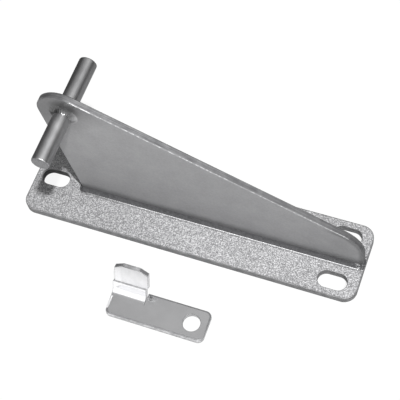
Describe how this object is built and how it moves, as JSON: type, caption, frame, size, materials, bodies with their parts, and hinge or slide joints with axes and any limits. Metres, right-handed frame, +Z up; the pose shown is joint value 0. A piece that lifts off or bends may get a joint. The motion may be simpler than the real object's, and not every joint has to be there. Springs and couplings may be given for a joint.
{
  "type": "hinge bracket",
  "caption": "Welded steel hinge bracket: slotted base plate, upright tapering arm plate and cross pin, with a loose bent retaining clip lying in front of it.",
  "frame": {"origin": "centre of the base plate's underside", "axes": "+X along the base plate, from the pin end to the end with two slots, +Y along the hinge pin, away from the clip, +Z up from the base plate"},
  "size_m": [0.2516, 0.1296, 0.1285],
  "materials": {
    "base_steel": "fine-grained silvery steel, dull",
    "arm_steel": "smooth grey rolled steel, dull",
    "pin_steel": "smooth drawn steel, soft sheen",
    "foot_weld_metal": "dark weld bead",
    "pin_weld_metal": "rippled weld bead",
    "clip_steel": "bright plated sheet"
  },
  "bodies": {
    "bracket": {"base_plate": "base_steel", "arm_plate": "arm_steel", "hinge_pin": "pin_steel", "foot_weld_near": "foot_weld_metal", "foot_weld_far": "foot_weld_metal", "pin_weld_near": "pin_weld_metal", "pin_weld_far": "pin_weld_metal"},
    "clip": {"retaining_clip": "clip_steel"}
  },
  "joints": [
    {"name": "clip_lift", "type": "slide", "parent": "bracket", "child": "clip", "axis": [0, 0, 1], "range_m": [0, 0.13]}
  ]
}
